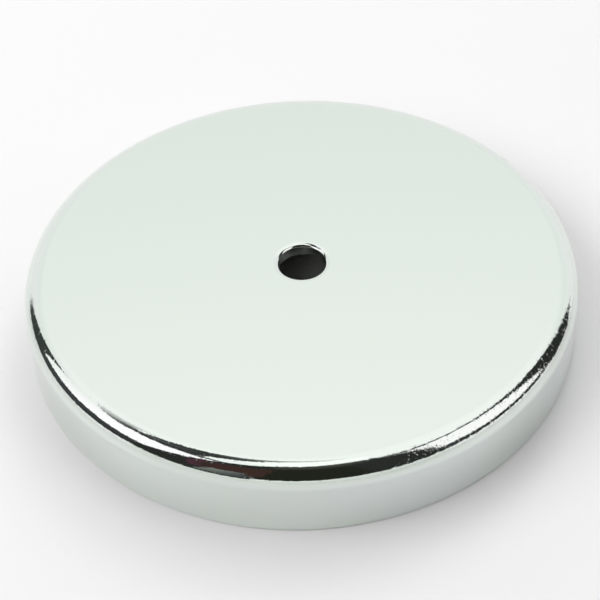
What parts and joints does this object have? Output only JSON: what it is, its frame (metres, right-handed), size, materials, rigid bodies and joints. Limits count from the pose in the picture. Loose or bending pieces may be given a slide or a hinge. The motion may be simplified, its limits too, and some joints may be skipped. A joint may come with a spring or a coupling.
{
  "type": "round pull magnet",
  "caption": "Round holding magnet: a ferrite ring glued in a shallow chromed steel cup with a plain centre hole, gripping steel with its open rim.",
  "frame": {"origin": "centre of the cup's rim, in the plane that the rim stands on", "axes": "+Z is the axis of the cup, from the open rim towards the closed top face; X and Y lie in the rim plane"},
  "size_m": [0.081, 0.081, 0.0112],
  "materials": {
    "plated_steel": "bright mirror plating over drawn steel, finely rippled on the bend",
    "ferrite": "sintered, faces ground matt, edges as pressed",
    "epoxy": "cured glue, honey coloured and slightly cloudy"
  },
  "bodies": {
    "root": {"steel_cup": "plated_steel", "ring_magnet": "ferrite", "adhesive": "epoxy"}
  },
  "joints": []
}
